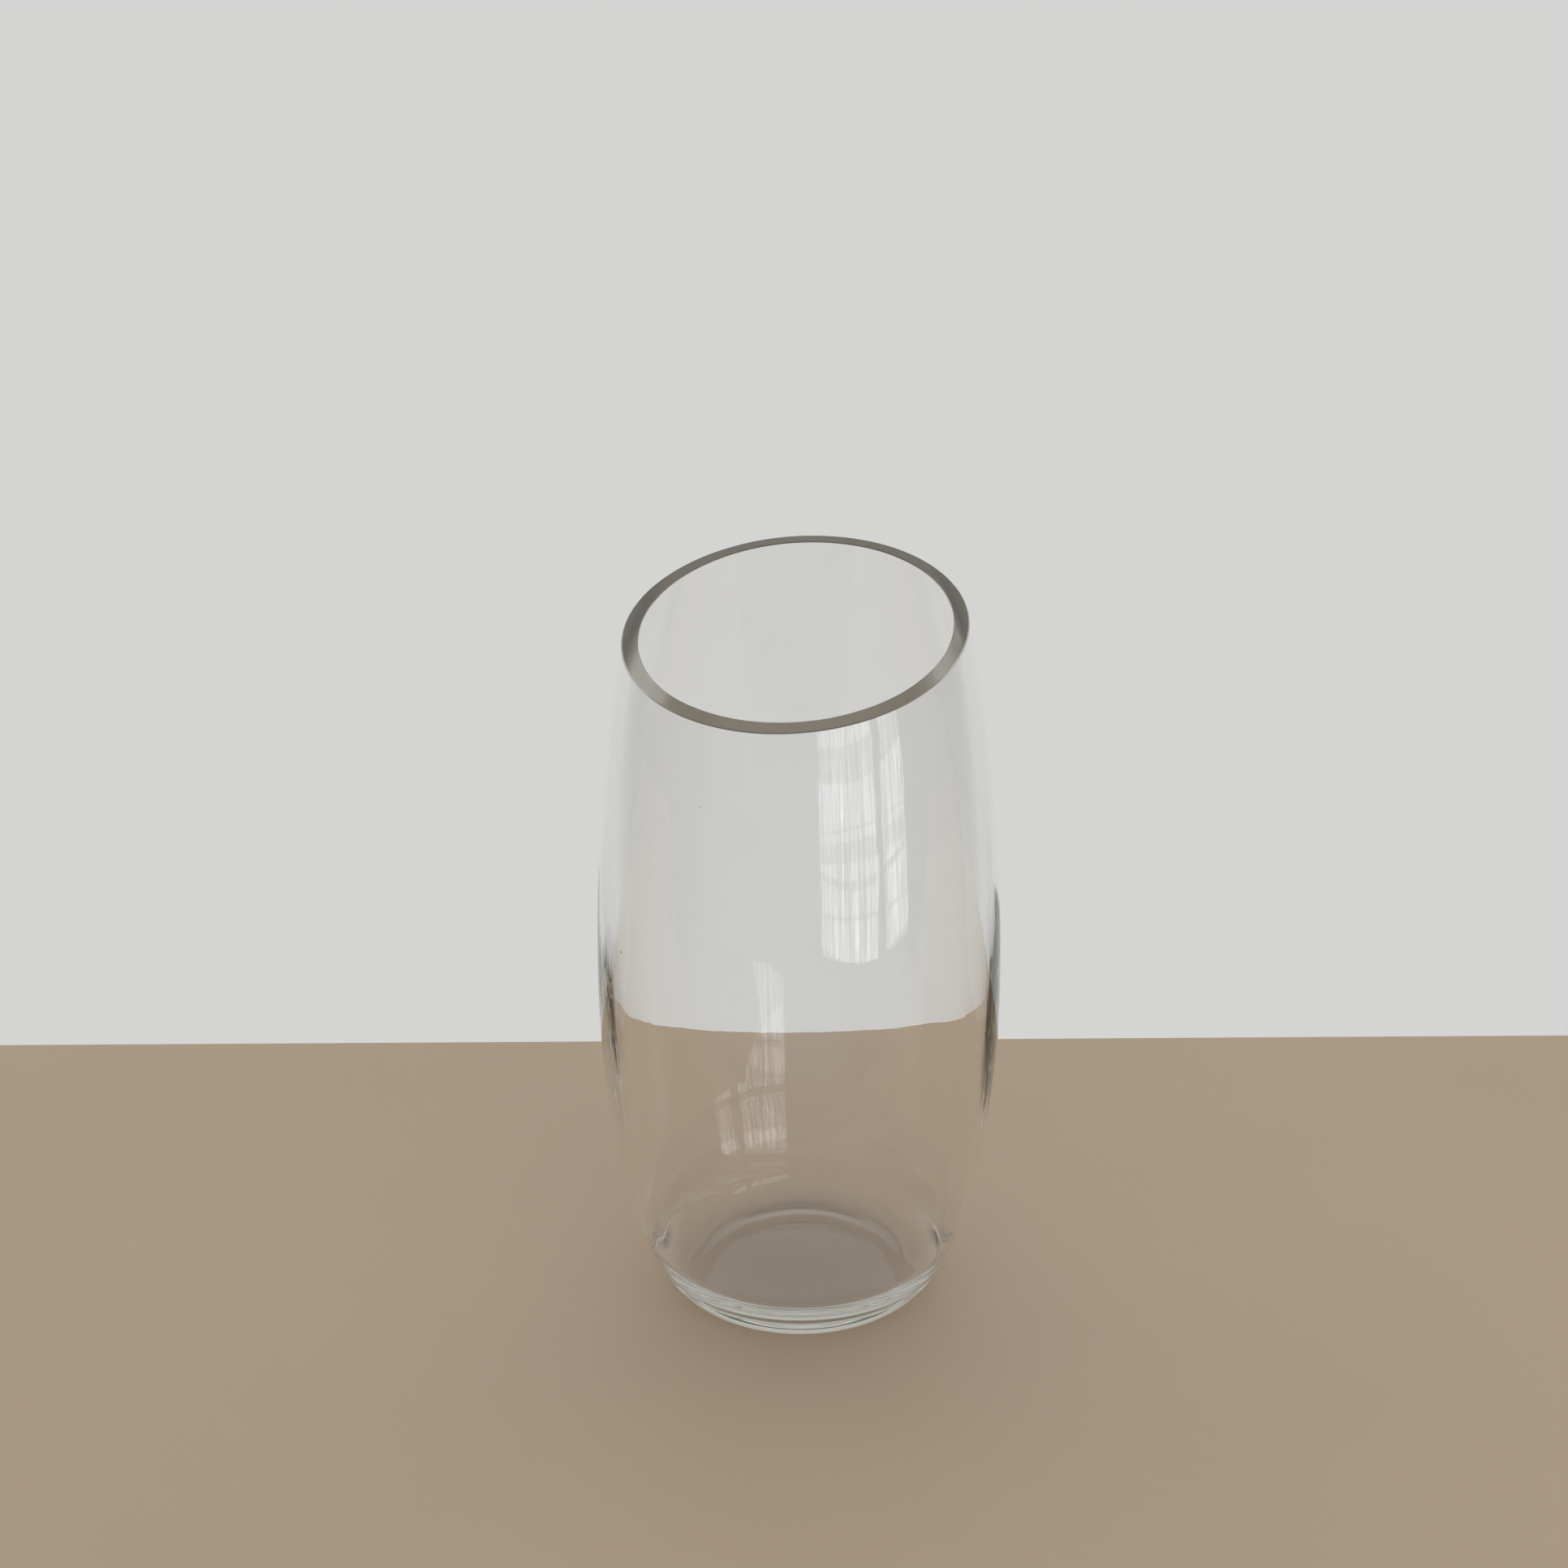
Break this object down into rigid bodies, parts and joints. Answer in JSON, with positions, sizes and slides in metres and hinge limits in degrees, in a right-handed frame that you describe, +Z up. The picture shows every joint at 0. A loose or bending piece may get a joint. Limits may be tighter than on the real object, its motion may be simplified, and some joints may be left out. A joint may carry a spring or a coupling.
{
  "type": "vase",
  "caption": "Clear glass flower vase with a barrel-shaped body, a slanted ground rim and a shallow push-up in its thick base.",
  "frame": {"origin": "centre of the foot ring, on the surface that the vase stands on", "axes": "+Z up along the vase's axis of revolution, +Y towards the high side of the slanted rim, +X to the right of it"},
  "size_m": [0.12, 0.12, 0.2263],
  "materials": {
    "clear_glass": "clear colourless glass with a faint grey-green tint, glossy all over except the rim face, which is ground flat and satin"
  },
  "bodies": {
    "root": {"glass_vase": "clear_glass"}
  },
  "joints": []
}
